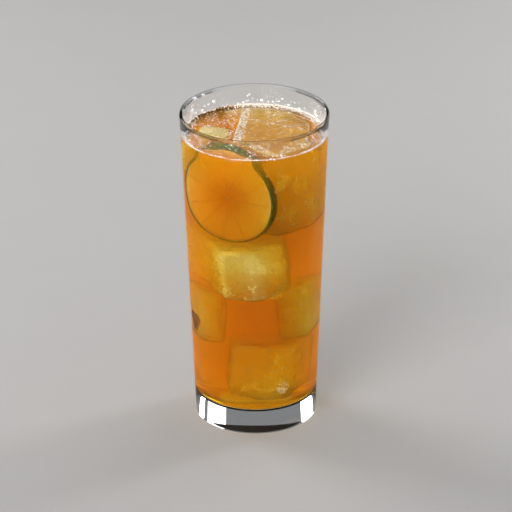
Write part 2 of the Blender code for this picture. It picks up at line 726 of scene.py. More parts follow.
@dataclass
class Tumbler:
    """The tall glass, which widens towards its rim."""

    height: float = 0.1540
    rim_radius: float = 0.0350
    foot_radius: float = 0.0286
    wall: float = 0.0015
    foot_thickness: float = 0.0108
    foot_edge: float = 0.0012
    floor_fillet: float = 0.0060
    sides: int = 192
    wall_rings: int = 24
    floor_rings: int = 6
    drink_level: float = 0.1430

    def outer(self, height: float) -> float:
        """Returns the outer radius at a height."""
        return self.foot_radius + (self.rim_radius - self.foot_radius) * height / self.height

    def inner(self, height: float) -> float:
        """Returns the inner radius at a height."""
        return self.outer(height) - self.wall

    def cavity_floor(self, grow: float) -> list[Pair]:
        """Returns the cavity's floor and corner from the axis outwards, grown into the glass."""
        floor = self.foot_thickness - grow
        fillet = self.floor_fillet + grow
        wall = self.inner(self.foot_thickness + self.floor_fillet) + grow
        corner = arc((wall - fillet, floor + fillet), fillet, -math.pi / 2, 0.0, 12)
        flat = between((0.0, floor), corner[0], self.floor_rings)
        return [(0.0, floor)] + flat + corner

    def build(self) -> bpy.types.Object:
        """Returns the glass as one turned piece."""
        lip = self.wall / 2
        lip_height = self.height - lip
        rim = arc((self.outer(lip_height) - lip, lip_height), lip, math.pi, 0.0, 10)
        edge_middle = (self.outer(self.foot_edge) - self.foot_edge, self.foot_edge)
        edge = arc(edge_middle, self.foot_edge, 0.0, -math.pi / 2, 8)
        inside = self.cavity_floor(0.0)
        profile = inside + between(inside[-1], rim[0], self.wall_rings) + rim
        profile += between(rim[-1], edge[0], self.wall_rings) + edge
        profile += between(edge[-1], (0.0, 0.0), self.floor_rings) + [(0.0, 0.0)]
        finish = TumblerGlass(
            foot_middle=self.foot_radius - self.wall / 2,
            taper=(self.rim_radius - self.foot_radius) / self.height,
            wet_from=self.foot_thickness / 2,
            wet_to=self.drink_level + 0.0008,
            lip_from=self.height - 0.0020,
        )
        return finished("tumbler", turned(profile, self.sides), finish.make())


# Ice


@dataclass
class IcePiece:
    """One piece of ice: a block over an outline, with melted edges and a lumpy skin."""

    name: str
    outline: tuple[Pair, ...]
    bottom: float
    top: float
    tilt: Triple = (0.0, 0.0, 0.0)
    edge: float = 0.0030
    grain: float = 0.0010
    lump: float = 0.0005
    broad_lumps: float = 95.0
    fine_lumps: float = 260.0
    seed: int = 1
    # Gives the share of white at a place: partly frost, partly painted highlight.
    frost_and_highlight_at: Callable[[Vector], float] = lambda place: 0.0
    raised: Callable[[Vector], float] = lambda place: 0.0

    @property
    def centre(self) -> Vector:
        """The middle of the piece."""
        count = len(self.outline)
        across = sum(x for x, _ in self.outline) / count
        along = sum(y for _, y in self.outline) / count
        return Vector((across, along, (self.bottom + self.top) / 2))

    @property
    def turn(self) -> Matrix:
        """The matrix that tilts the piece about its middle."""
        return Euler([math.radians(part) for part in self.tilt]).to_matrix()

    def block(self) -> bmesh.types.BMesh:
        """Returns the block with its edges rounded, before its skin is made lumpy."""
        shape = bmesh.new()
        lower = [shape.verts.new((x, y, self.bottom)) for x, y in self.outline]
        upper = [shape.verts.new((x, y, self.top)) for x, y in self.outline]
        shape.faces.new(list(reversed(lower)))
        shape.faces.new(upper)
        for index in range(len(lower)):
            after = (index + 1) % len(lower)
            shape.faces.new((lower[index], lower[after], upper[after], upper[index]))
        bmesh.ops.bevel(
            shape, geom=shape.edges[:], offset=self.edge, segments=4, profile=0.5, affect="EDGES"
        )
        for vertex in shape.verts:
            vertex.co = self.turn @ (vertex.co - self.centre) + self.centre
        return shape

    def build(self, material: bpy.types.Material) -> bpy.types.Object:
        """Returns the ice as a lumpy mesh with its share of white at each point, partly frost, partly
        painted highlight.
        """
        item = finished(self.name, self.block(), material)
        skin = item.modifiers.new("Even skin", "REMESH")
        skin.mode = "VOXEL"
        skin.voxel_size = self.grain
        settled(item, material)
        offset = Vector((self.seed * 3.1, self.seed * 1.7, self.seed * 2.3))
        points = item.data.vertices
        normals = [point.normal.copy() for point in points]
        frost_and_highlight = item.data.attributes.new("frost_and_highlight", "FLOAT", "POINT")
        back = self.turn.inverted()
        for index, (point, normal) in enumerate(zip(points, normals)):
            upright = back @ (point.co - self.centre) + self.centre
            broad = noise.noise(point.co * self.broad_lumps + offset)
            fine = noise.noise(point.co * self.fine_lumps + offset)
            swell = self.lump * (broad + 0.4 * fine - 0.9) + self.raised(point.co)
            frost_and_highlight.data[index].value = self.frost_and_highlight_at(upright)
            point.co += normal * swell
        return item


@dataclass
class SunkCube:
    """A cube that lies wholly under the surface.

    Its left edge is as white as bright says, as a painted highlight, and its front and back swell
    towards the wall by belly.
    """

    name: str
    middle: Triple
    size: Triple
    tilt: Triple
    seed: int
    # How strong the painted highlight on the left side and the even painted paleness are.
    bright: float = 0.0
    belly: float = 0.0
    uneven: float = 0.0012
    edge: float = 0.0034
    outline: list[Pair] = field(init=False)

    def __post_init__(self) -> None:
        """Draws the cube's own uneven corners, and swells its front and back."""
        rng = random.Random(self.seed)
        x, y = self.middle[:2]
        width, depth = self.size[:2]
        self.outline = []
        for across, along in ((-1, -1), (1, -1), (1, 1), (-1, 1)):
            corner_x = x + across * width / 2 - self.uneven * across * rng.random()
            corner_y = y + along * depth / 2 - self.uneven * along * rng.random()
            self.outline.append((corner_x, corner_y))
        if self.belly:
            swell = depth / 2 + self.belly
            self.outline.insert(3, (x, y + swell))
            self.outline.insert(1, (x, y - swell))

    def frost_and_highlight_at(self, place: Vector) -> float:
        """Returns how white the cube is: a painted highlight on its left side and its edges, an even
        painted paleness set by bright, and a few random patches.
        """
        # Random pale patches, plus an even painted paleness set by bright.
        patch = 0.35 * rise(0.25, 0.55, noise.noise(place * 140)) + 0.12 * self.bright
        off_middle = place - Vector(self.middle)
        inset = sorted(part / 2 - abs(off) for part, off in zip(self.size, off_middle))
        to_edge = math.hypot(inset[0], inset[1])
        # Painted highlight along the edges and, set by bright, on the left side.
        edge = (0.45 + 0.5 * self.bright) * fall(0.0012, 0.0034, to_edge)
        to_left = off_line(place, self.outline[0], self.outline[-1])
        return max(patch, edge, self.bright * fall(0.001, 0.005, to_left))

    def piece(self) -> IcePiece:
        """Returns the cube as a piece of ice, not yet built."""
        half = self.size[2] / 2
        return IcePiece(
            name=self.name,
            outline=tuple(self.outline),
            bottom=self.middle[2] - half,
            top=self.middle[2] + half,
            tilt=self.tilt,
            edge=self.edge,
            seed=self.seed,
            frost_and_highlight_at=self.frost_and_highlight_at,
        )


@dataclass
class Ice:
    """All the ice: the block that breaks the surface and the cubes sunk below it."""

    level: float
    corners: tuple[Pair, ...] = (
        (-0.0112, -0.0112),
        (0.0100, -0.0255),
        (0.0265, -0.0110),
        (0.0270, 0.0120),
        (0.0110, 0.0275),
        (-0.0065, 0.0288),
    )
    height: float = 0.0430
    proud: float = 0.0017
    crest: tuple[Pair, Pair] = ((0.0042, 0.0105), (0.0255, 0.0000))
    crest_rise: float = 0.00040

    def frost_and_highlight_on_top(self, place: Vector) -> float:
        """Returns how white the block is at a place, as frost and painted highlight: its left edge most,
        its back edge next.
        """
        # Painted highlight: the white along the left, back and front edges, the crest and the swirls
        # stands partly for frost, partly for light caught there.
        near_top = rise(-0.0050, -0.0015, place.z - self.level)
        front_left, front, front_right, back_right, back, back_left = self.corners
        left_edge = fall(0.0044, 0.0062, off_line(place, back_left, front_left))
        to_back = min(off_line(place, back_left, back), off_line(place, back, back_right))
        back_edge = 0.95 * fall(0.0010, 0.0024, to_back)
        to_front = min(off_line(place, front_left, front), off_line(place, front, front_right))
        front_edge = 0.80 * fall(0.0004, 0.0015, to_front)
        swirl = abs(noise.noise(Vector((place.x * 150, place.y * 210, 4.0))))
        swirl = 0.55 * fall(0.02, 0.10, swirl)
        crest = 0.55 * fall(0.0003, 0.0009, off_line(place, *self.crest))
        return near_top * max(left_edge, back_edge, front_edge, crest, swirl)

    def crest_height(self, place: Vector) -> float:
        """Returns how far the crest across the block's top stands up at a place."""
        if place.z < self.level:
            return 0.0
        return self.crest_rise * fall(0.0, 0.0011, off_line(place, *self.crest))

    def block(self) -> IcePiece:
        """Returns the block that breaks the surface."""
        top = self.level + self.proud
        return IcePiece(
            name="ice_at_surface",
            outline=self.corners,
            bottom=top - self.height,
            top=top,
            grain=0.0008,
            lump=0.0004,
            seed=3,
            frost_and_highlight_at=self.frost_and_highlight_on_top,
            raised=self.crest_height,
        )

    def cubes(self) -> list[IcePiece]:
        """Returns the sunk cubes, highest first."""
        plans = (
            SunkCube(
                "ice_cube_left",
                middle=(-0.0195, 0.0045, 0.1327),
                size=(0.0180, 0.0150, 0.0190),
                tilt=(0.0, 0.0, -15.0),
                seed=2,
                bright=0.9,
            ),
            SunkCube(
                "ice_cube_middle",
                middle=(-0.0035, -0.0012, 0.0830),
                size=(0.0320, 0.0410, 0.0265),
                tilt=(2.0, -6.0, 8.0),
                seed=5,
                bright=0.9,
                belly=0.0085,
            ),
            SunkCube(
                "ice_cube_side",
                middle=(-0.0180, -0.0010, 0.0540),
                size=(0.0150, 0.0220, 0.0265),
                tilt=(0.0, 3.0, 8.0),
                seed=14,
            ),
            SunkCube(
                "ice_cube_right",
                middle=(0.0160, -0.0030, 0.0575),
                size=(0.0160, 0.0220, 0.0280),
                tilt=(3.0, -4.0, -8.0),
                seed=8,
            ),
            SunkCube(
                "ice_cube_low",
                middle=(0.0040, -0.0045, 0.0282),
                size=(0.0290, 0.0270, 0.0280),
                tilt=(-2.0, 3.0, -6.0),
                seed=11,
                bright=0.3,
                belly=0.0040,
            ),
        )
        return [plan.piece() for plan in plans]

    def build(self) -> dict[str, bpy.types.Object]:
        """Returns every piece of ice by name, the one at the surface first."""
        shiny_from = self.level + 0.0003
        soaked = MeltingIce(
            "ice_soaked", shiny_from, 50.0, 130.0, milk=(1.0, 0.78, 0.50), stain=(0.935, 0.78, 0.16)
        ).make()
        milky = MeltingIce("ice_milky", shiny_from, 260.0, 2.0).make()
        clear = MeltingIce("ice_clear", shiny_from, 18.0, 2.0).make()
        stained = MeltingIce("ice_stained", shiny_from, 24.0, 60.0).make()
        dim = MeltingIce("ice_dim", shiny_from, 130.0, 30.0).make()
        finishes = (soaked, milky, clear, clear, dim, stained)
        pieces = zip([self.block(), *self.cubes()], finishes)
        return {piece.name: piece.build(finish) for piece, finish in pieces}


# Lime


@dataclass
class LimeWheel:
    """The upright slice of lime: peel, thin pith, membranes and juicy segments."""

    level: float
    radius: float = 0.0228
    thickness: float = 0.0040
    bulge: float = 0.00035
    turn: float = math.radians(31.0)
    lean: float = math.atan((0.0350 - 0.0286) / 0.1540)
    off_axis: float = 0.0200
    proud: float = 0.0001
    peel: float = 0.0008
    pith: float = 0.0004
    segments: int = 11
    gap: float = 0.00016
    core: float = 0.0013
    chamfer: float = 0.0002
    chamfer_depth: float = 0.00006
    overlap: float = 0.00005
    ring_steps: int = 160
    sacs_out: float = 220.0
    sacs_around: float = 26.0
    seed: int = 4

    @property
    def placing(self) -> Matrix:
        """The matrix that stands the wheel up at its place against the wall."""
        upright = Euler((math.pi / 2 + self.lean, 0.0, -self.turn)).to_matrix().to_4x4()
        middle = Vector(
            (
                -self.off_axis * math.sin(self.turn),
                -self.off_axis * math.cos(self.turn),
                self.level + self.proud - self.radius,
            )
        )
        return Matrix.Translation(middle) @ upright

    def ring(self, inner: float, outer: float, half: float, bulge: float) -> bmesh.types.BMesh:
        """Returns a flat ring.

        Args:
            inner: Its inner radius.
            outer: Its outer radius at the faces.
            half: Half its thickness.
            bulge: How far its outer side is rounded out.

        Returns:
            The ring, lying flat.
        """
        shape = bmesh.new()
        steps = self.ring_steps
        start, end = inner + self.chamfer, outer - self.chamfer
        section = [(inner, half - self.chamfer_depth), (start, half), (end, half)]
        for share in (0.92, 0.6, 0.25, -0.25, -0.6, -0.92):
            section.append((outer + bulge * (1 - share * share), half * share))
        section += [(end, -half), (start, -half), (inner, self.chamfer_depth - half)]
        loops = []
        for cosine, sine in circle(1.0, steps):
            loops.append([shape.verts.new((r * cosine, r * sine, z)) for r, z in section])
        for step in range(steps):
            here, there = loops[step], loops[(step + 1) % steps]
            for index in range(len(section)):
                after = (index + 1) % len(section)
                shape.faces.new((here[index], here[after], there[after], there[index]))
        return shape

    def wedge(self, start: float, end: float, reach: float, rng: random.Random) -> bmesh.types.BMesh:
        """Returns one puffed segment of flesh.

        Args:
            start: The angle of its first side.
            end: The angle of its second side.
            reach: How far it reaches from the middle.
            rng: Makes its faces uneven.

        Returns:
            The segment, lying flat.
        """
        shape = bmesh.new()
        middle = (start + end) / 2
        half_angle = (end - start) / 2
        point = self.gap / 2 / math.sin(half_angle) + 0.0009
        across, along = 14, 16
        sides = []
        for side in (1, -1):
            grid = []
            for i in range(along + 1):
                out = i / along
                line = []
                for j in range(across + 1):
                    swing = 2 * j / across - 1
                    radius = point + (reach - point) * out
                    width = max(radius * math.sin(half_angle) - self.gap / 2, 0.00008)
                    rim = min(1.0, 5 * out + 0.2) * min(1.0, 8 * (1 - out) + 0.1)
                    puff = (1 - abs(swing) ** 6) * rim
                    lift = self.thickness / 2 * (0.915 + 0.07 * puff)
                    lift += 0.00005 * rng.uniform(-1, 1) * puff
                    straight = math.sqrt(max(radius * radius - (width * swing) ** 2, 0.0))
                    flat = Vector((straight, width * swing, side * lift))
                    flat.rotate(Euler((0.0, 0.0, middle)))
                    line.append(shape.verts.new(flat))
                grid.append(line)
            sides.append(grid)
        top, bottom = sides
        for i in range(along):
            for j in range(across):
                shape.faces.new((top[i][j], top[i + 1][j], top[i + 1][j + 1], top[i][j + 1]))
                shape.faces.new((bottom[i][j], bottom[i][j + 1], bottom[i + 1][j + 1], bottom[i + 1][j]))
        edge = [(i, 0) for i in range(along)] + [(along, j) for j in range(across)]
        edge += [(i, across) for i in range(along, 0, -1)] + [(0, j) for j in range(across, 0, -1)]
        for (i, j), (k, m) in zip(edge, edge[1:] + edge[:1]):
            shape.faces.new((top[i][j], bottom[i][j], bottom[k][m], top[k][m]))
        return shape

    def cuts(self) -> list[float]:
        """Returns the angles of the membranes between the segments, unevenly spaced."""
        rng = random.Random(self.seed)
        step = 2 * math.pi / self.segments
        return [index * step + rng.uniform(-0.09, 0.09) for index in range(self.segments)]

    def membranes(self, inside: float, outside: float) -> bmesh.types.BMesh:
        """Returns the pith's ring, the thin membranes that run in from it, and the core.

        Args:
            inside: The ring's inner radius.
            outside: Its outer radius.

        Returns:
            The three as one shape, lying flat.
        """
        half = self.thickness / 2 * 0.94
        shape = self.ring(inside, outside, half, 0.0)
        mesh = bpy.data.meshes.new("core")
        flat = self.core - self.chamfer
        profile = [(0.0, half), (flat, half), (self.core, 0.0), (flat, -half), (0.0, -half)]
        core = turned(profile, 16)
        bmesh.ops.recalc_face_normals(core, faces=core.faces)
        core.to_mesh(mesh)
        core.free()
        shape.from_mesh(mesh)
        bpy.data.meshes.remove(mesh)
        for angle in self.cuts():
            turn = Matrix.Rotation(angle, 3, "Z")
            corners = []
            for x in (0.0010, inside + 0.0001):
                thick = self.gap * 0.42
                for y in (-thick, thick):
                    for z in (-half, half):
                        corners.append(shape.verts.new(turn @ Vector((x, y, z))))
            faces = ((0, 1, 3, 2), (4, 6, 7, 5), (0, 4, 5, 1), (2, 3, 7, 6), (0, 2, 6, 4), (1, 5, 7, 3))
            for face in faces:
                shape.faces.new([corners[index] for index in face])
        return shape

    def flesh(self, reach: float) -> bpy.types.Object:
        """Returns all segments of flesh as one piece, which keeps each point's way from the core."""
        rng = random.Random(self.seed + 1)
        whole = bmesh.new()
        angles = self.cuts()
        part_mesh = bpy.data.meshes.new("segment")
        for index, start in enumerate(angles):
            end = angles[index + 1] if index + 1 < self.segments else angles[0] + 2 * math.pi
            part = self.wedge(start, end, reach, rng)
            if part.calc_volume(signed=True) < 0:
                bmesh.ops.reverse_faces(part, faces=part.faces)
            part.to_mesh(part_mesh)
            part.free()
            whole.from_mesh(part_mesh)
        bpy.data.meshes.remove(part_mesh)
        item = finished("lime_flesh", whole, LimeFlesh().make())
        names = ("out", "around", "reach")
        layers = [item.data.attributes.new(name, "FLOAT", "POINT") for name in names]
        for index, point in enumerate(item.data.vertices):
            radius = point.co.xy.length
            angle = math.atan2(point.co.y, point.co.x) % (2 * math.pi)
            values = (radius * self.sacs_out, angle * self.sacs_around, radius)
            for layer, value in zip(layers, values):
                layer.data[index].value = value
        return item

    def build(self) -> dict[str, bpy.types.Object]:
        """Returns the peel, the pith with its membranes, and the flesh, by name."""
        half = self.thickness / 2
        face = self.radius - self.bulge
        skin = self.ring(face - self.peel, face, half, self.bulge)
        peel = finished("lime_peel", skin, LimePeel().make())
        outside = face - self.peel + self.overlap
        inside = outside - self.pith
        pith = finished("lime_pith", self.membranes(inside, outside), LimePith().make())
        flesh = self.flesh(inside - self.overlap)
        pieces = {"lime_peel": peel, "lime_pith": pith, "lime_flesh": flesh}
        for piece in pieces.values():
            piece.data.transform(self.placing)
        return pieces


# Punch


@dataclass
class Punch:
    """The drink: it fills the cavity to its level, soaks the lime and gives way to the ice."""

    glass: Tumbler
    freeboard: float = 0.0110
    into_wall: float = 0.0002
    under_ice: float = 0.00015
    climb: float = 0.0010
    climb_width: float = 0.0013
    lime_top: tuple[Pair, Pair] = ((-0.0160, -0.0148), (-0.0050, -0.0214))
    film: float = 0.0006
    surface_rings: int = 56
    crowding: float = 1.5
    wall_rings: int = 30

    @property
    def level(self) -> float:
        """The height of the drink's surface."""
        return self.glass.height - self.freeboard

    def surface_height(self, x: float, y: float, edges: tuple[Pair, ...]) -> float:
        """Returns the surface's height at a place: faint ripples, and a rise at the wall and the ice.

        Args:
            x: The place to the right.
            y: The place to the back.
            edges: The outline of the ice that breaks the surface.

        Returns:
            The height above the foot.
        """
        place = Vector((x, y, 0.0))
        to_wall = max(self.glass.inner(self.level) - place.length, 0.0)
        to_ice = off_outline(place, edges)
        climb = self.climb * math.exp(-to_wall / self.climb_width)
        climb = max(climb, 0.6 * self.climb * math.exp(-to_ice / self.climb_width))
        to_lime = off_line(place, *self.lime_top)
        climb = max(climb, self.film * fall(0.0035, 0.0060, to_lime))
        ripple = 0.00013 * noise.noise(Vector((x * 170, y * 170, 0.3)))
        return self.level + climb + ripple

    def build(self, ice: Ice, pieces: dict[str, bpy.types.Object]) -> bpy.types.Object:
        """Returns the drink with room for the ice.

        Args:
            ice: What the ice is like.
            pieces: The ice by name, the one that breaks the surface first.

        Returns:
            The drink as one mesh, whose inner walls lie just inside the ice.
        """
        reach = self.glass.inner(self.level) + self.into_wall
        top = []
        for ring in range(self.surface_rings + 1):
            share = ring / self.surface_rings
            top.append((reach * (1 - (1 - share) ** self.crowding), self.level))
        floor = self.glass.cavity_floor(self.into_wall)
        profile = top + between(top[-1], floor[-1], self.wall_rings) + list(reversed(floor))
        shape = turned(profile, self.glass.sides)
        for vertex in shape.verts:
            if vertex.co.z > self.level - 1e-6:
                vertex.co.z = self.surface_height(vertex.co.x, vertex.co.y, ice.corners)
        material = AmberPunch(self.level).make()
        drink = finished("amber_punch", shape, material)
        first, *sunk = pieces.values()
        cutter = linked("ice_room", self.shrunk(first))
        cut = drink.modifiers.new("Room for the ice", "BOOLEAN")
        cut.operation = "DIFFERENCE"
        cut.solver = "EXACT"
        cut.object = cutter
        settled(drink, material)
        bpy.data.objects.remove(cutter)
        for item in sunk:
            self.hollow(drink, item)
        return drink

    def shrunk(self, item: bpy.types.Object) -> bpy.types.Mesh:
        """Returns a copy of the ice's mesh that lies just inside it."""
        mesh = item.data.copy()
        normals = [vertex.normal.copy() for vertex in mesh.vertices]
        for vertex, normal in zip(mesh.vertices, normals):
            vertex.co -= normal * self.under_ice
        return mesh

    def hollow(self, drink: bpy.types.Object, item: bpy.types.Object) -> None:
        """Adds the inner wall round ice that is wholly sunk."""
        inner = self.shrunk(item)
        inner.flip_normals()
        shape = bmesh.new()
        shape.from_mesh(drink.data)
        shape.from_mesh(inner)
        shape.to_mesh(drink.data)
        shape.free()
        drink.data.shade_smooth()


# Small things in number


@dataclass(frozen=True)
class Scatter:
    """Scatters small bubbles or drops over a patch with Geometry Nodes."""

    name: str
    kind: Fleck
    number: float
    smallest: float
    largest: float
    flatness: float
    seed: int
    rarity: float = 3.0

    def tree(self, material: bpy.types.Material) -> bpy.types.GeometryNodeTree:
        """Returns the node tree that sets a fleck on each random point of the patch."""
        tree = bpy.data.node_groups.new(self.name, "GeometryNodeTree")
        tree.interface.new_socket("Patch", in_out="INPUT", socket_type="NodeSocketGeometry")
        for name in ("Number", "Smallest", "Largest", "Flatness"):
            tree.interface.new_socket(name, in_out="INPUT", socket_type="NodeSocketFloat")
        tree.interface.new_socket("Flecks", in_out="OUTPUT", socket_type="NodeSocketGeometry")
        given = wired(tree, "NodeGroupInput").outputs
        kept = wired(tree, "GeometryNodeInputNamedAttribute", data_type="FLOAT", Name="share")
        number = worked_out(tree, "MULTIPLY", given["Number"], kept.outputs["Attribute"])
        points = wired(
            tree,
            "GeometryNodeDistributePointsOnFaces",
            distribute_method="RANDOM",
            Mesh=given["Patch"],
            Density=number,
            Seed=self.seed,
        )
        luck = wired(tree, "FunctionNodeRandomValue", data_type="FLOAT", Seed=self.seed + 1)
        rare = worked_out(tree, "POWER", luck.outputs[1], self.rarity)
        sizes = {"To_Min": given["Smallest"], "To_Max": given["Largest"]}
        size = wired(tree, "ShaderNodeMapRange", Value=rare, **sizes).outputs["Result"]
        height = worked_out(tree, "MULTIPLY", size, given["Flatness"])
        ball = wired(tree, "GeometryNodeMeshIcoSphere", Radius=1.0, Subdivisions=self.kind.value)
        flecks = wired(
            tree,
            "GeometryNodeInstanceOnPoints",
            Points=points.outputs["Points"],
            Instance=ball.outputs["Mesh"],
            Rotation=points.outputs["Rotation"],
            Scale=wired(tree, "ShaderNodeCombineXYZ", X=size, Y=size, Z=height).outputs[0],
        )
        real = wired(tree, "GeometryNodeRealizeInstances", Geometry=flecks.outputs[0])
        finish = wired(
            tree, "GeometryNodeSetMaterial", Geometry=real.outputs[0], Material=material
        )
        wired(tree, "NodeGroupOutput", Flecks=finish.outputs[0])
        return tree

    def build(self, patch: bpy.types.Object, material: bpy.types.Material) -> bpy.types.Object:
        """Returns the flecks as one plain mesh, made from the patch that they are scattered on.

        Args:
            patch: The patch, with its share of flecks at each point.
            material: The flecks' finish.

        Returns:
            The flecks, in the patch's object.
        """
        tree = self.tree(material)
        modifier = patch.modifiers.new("Scatter", "NODES")
        modifier.node_group = tree
        values = {
            "Number": self.number,
            "Smallest": self.smallest,
            "Largest": self.largest,
            "Flatness": self.flatness,
        }
        for socket in tree.interface.items_tree:
            if socket.name in values:
                modifier[socket.identifier] = values[socket.name]
        settled(patch, material)
        patch.name = self.name
        patch.data.name = self.name
        return patch


@dataclass
class Sparkle:
    """Every bubble and drop: at the wall, on the surface, in the ice and above the drink."""

    glass: Tumbler
    drink: Punch
    ice: Ice
    band_steps: int = 180
    disc_steps: int = 120
    disc_rings: int = 40
    sheet_steps: int = 28
    sheet_waves: float = 0.0022
    sheets: tuple[tuple[Pair, Pair, float, float], ...] = (
        ((0.0085, -0.0232), (0.0245, -0.0100), 0.1050, 0.1410),
        ((-0.0070, -0.0020), (0.0230, 0.0060), 0.1080, 0.1400),
        ((0.0130, 0.0060), (0.0180, -0.0160), 0.1100, 0.1410),
        ((-0.0130, -0.0180), (0.0110, -0.0190), 0.0690, 0.0920),
        ((0.0100, -0.0100), (0.0220, -0.0080), 0.0480, 0.0690),
        ((-0.0060, -0.0120), (0.0160, -0.0130), 0.0170, 0.0370),
    )

    def band(
        self,
        low: float,
        high: float,
        inset: float,
        share: Callable[[float, float], float],
        rows: int,
    ) -> bpy.types.Object:
        """Returns a band that follows the inner wall, with its share of flecks at each point.

        Args:
            low: The band's lower height.
            high: The band's upper height.
            inset: How far it lies inside the wall.
            share: Gives the share of flecks at an angle and a height.
            rows: How many rows of faces it has.

        Returns:
            The band, whose faces point inwards.
        """
        shape = bmesh.new()
        grid = []
        for row in range(rows + 1):
            height = low + (high - low) * row / rows
            radius = self.glass.inner(height) - inset
            points = circle(radius, self.band_steps)
            grid.append([shape.verts.new((x, y, height)) for x, y in points])
        skinned(shape, grid)
        return self.patch(shape, lambda place: share(math.atan2(place.y, place.x), place.z))

    def disc(self, share: Callable[[Vector], float]) -> bpy.types.Object:
        """Returns a patch that follows the drink's surface, clear of the ice's middle."""
        shape = bmesh.new()
        reach = self.glass.inner(self.drink.level) - 0.0006
        grid = []
        for ring in range(1, self.disc_rings + 1):
            line = []
            for x, y in circle(reach * ring / self.disc_rings, self.disc_steps):
                height = self.drink.surface_height(x, y, self.ice.corners)
                line.append(shape.verts.new((x, y, height)))
            grid.append(line)
        skinned(shape, grid)
        return self.patch(shape, share)

    def patch(self, shape: bmesh.types.BMesh, share: Callable[[Vector], float]) -> bpy.types.Object:
        """Returns a shape as a patch to scatter on, with its share of flecks at each point."""
        mesh = bpy.data.meshes.new("patch")
        shape.to_mesh(mesh)
        shape.free()
        kept = mesh.attributes.new("share", "FLOAT", "POINT")
        for index, point in enumerate(mesh.vertices):
            kept.data[index].value = share(point.co)
        return linked("patch", mesh)

    def cracks(self) -> bpy.types.Object:
        """Returns wavy sheets inside the ice, on which its clouds of tiny bubbles lie."""
        shape = bmesh.new()
        steps = self.sheet_steps
        for number, (start, end, low, high) in enumerate(self.sheets):
            first, last = Vector((*start, low)), Vector((*end, high))
            level_run = Vector((last.x - first.x, last.y - first.y, 0.0))
            aside = Vector((-level_run.y, level_run.x, 0.0)).normalized()
            grid = []
            for i in range(steps + 1):
                line = []
                for j in range(steps + 1):
                    place = first + level_run * (i / steps)
                    place.z = low + (high - low) * j / steps
                    wave = noise.noise(place * 70 + Vector((number, 0.0, 0.0)))
                    place += aside * self.sheet_waves * wave
                    line.append(shape.verts.new(place))
                grid.append(line)
            for i in range(steps):
                for j in range(steps):
                    shape.faces.new((grid[i][j], grid[i + 1][j], grid[i + 1][j + 1], grid[i][j + 1]))

        def share(place: Vector) -> float:
            """Returns the share of bubbles in the ice: in small thick clouds."""
            return rise(0.0, 0.45, noise.noise(place * 130) + 0.35 * noise.noise(place * 420))

        return self.patch(shape, share)

    def inside_ice(self, place: Vector) -> bool:
        """Says whether a place lies over the ice that breaks the surface."""
        edges = self.ice.corners
        for start, end in zip(edges, edges[1:] + edges[:1]):
            along = Vector(end) - Vector(start)
            if along.cross(place.xy - Vector(start)) < -0.0002 * along.length:
                return False
        return True

    def at_wall(self, angle: float, height: float) -> float:
        """Returns the share of bubbles on the wall: in drifts, more near the surface, in a patch at the
        front right as painted glints, and in a dense white cluster low at the front as a painted
        highlight.
        """
        place = Vector((3 * math.cos(angle), 3 * math.sin(angle), height * 90))
        drift = rise(0.05, 0.45, noise.noise(place))
        near_top = 0.15 + 0.85 * rise(self.drink.level - 0.045, self.drink.level, height)
        # Painted glints: bubbles crowded at the front right, standing for small highlights.
        corner = fall(0.10, 0.40, abs(angle + 0.50)) * fall(0.010, 0.026, abs(height - 0.052))
        # Painted highlight: a dense white cluster of bubbles low at the front, standing for a lamp's
        # highlight.
        away = Vector((28.0 * (angle + 1.117), 1000 * (height - 0.0225) * 1.3, 0.0))
        away += 1.2 * noise.noise_vector(away * 0.5)
        return near_top * (0.12 + drift) + 0.9 * corner + 80.0 * fall(2.2, 3.6, away.length)

    def on_surface(self, place: Vector) -> float:
        """Returns the share of bubbles on the surface: most at the back left and along the ice."""
        if self.inside_ice(place):
            return 0.0
        drift = rise(-0.2, 0.5, noise.noise(place * 170))
        edges = self.ice.corners
        to_ice = off_outline(place, edges)
        to_wall = self.glass.inner(self.drink.level) - place.xy.length
        # Froth piled thick at the back right: partly real froth, partly painted highlight standing for
        # the bright line there.
        back = self.at_back(math.atan2(place.y, place.x)) * fall(0.0008, 0.0026, to_wall)
        return 0.15 + 0.75 * drift + 1.2 * fall(0.0, 0.0025, to_ice) + 7.0 * back

    def at_back(self, angle: float) -> float:
        """Returns how near an angle is to the back right, where the ice meets the wall."""
        starts = rise(math.radians(8), math.radians(28), angle)
        return starts * fall(math.radians(98), math.radians(112), angle)

    def build(self) -> list[bpy.types.Object]:
        """Returns the bubbles and drops, each kind as one piece."""
        bubble = ThinFilm("bubble_film", (1.0, 0.90, 0.72), 0.55).make()
        froth = ThinFilm("froth_film", (1.0, 0.92, 0.86), 0.15).make()
        cloud = ThinFilm("cloud_in_ice", (1.0, 0.97, 0.92), 0.10).make()
        drop = ThinFilm("wall_drop", (0.99, 0.99, 1.0), 0.50).make()
        level = self.drink.level

        wall = Scatter("wall_bubbles", Fleck.BUBBLE, 60000, 0.00008, 0.00042, 1.0, 21)
        surface = Scatter("surface_bubbles", Fleck.BUBBLE, 2000000, 0.00006, 0.00034, 0.8, 22)
        ring = Scatter("froth_ring", Fleck.BUBBLE, 9000000, 0.00012, 0.00045, 1.0, 23)
        flecks = Scatter("ice_flecks", Fleck.BUBBLE, 4400000, 0.00008, 0.00046, 1.0, 25)
        drops = Scatter("wall_drops", Fleck.DROP, 240000, 0.00022, 0.00090, 0.5, 24)

        def splash(angle: float, height: float) -> float:
            """Returns the share of drops above the drink: most low at the back right."""
            back = rise(0.1, 0.75, math.sin(angle - 0.25))
            low = fall(level + 0.0015, level + 0.0065, height)
            return low * (0.04 + 0.96 * back)

        def foam(angle: float, height: float) -> float:
            """Returns the share of froth round the edge of the surface, thickest at the back right,
            partly as painted highlight.
            """
            drift = noise.noise(Vector((4 * math.cos(angle), 4 * math.sin(angle), 2.0)))
            return 0.35 + 0.65 * rise(-0.2, 0.4, drift) + 2.0 * self.at_back(angle)

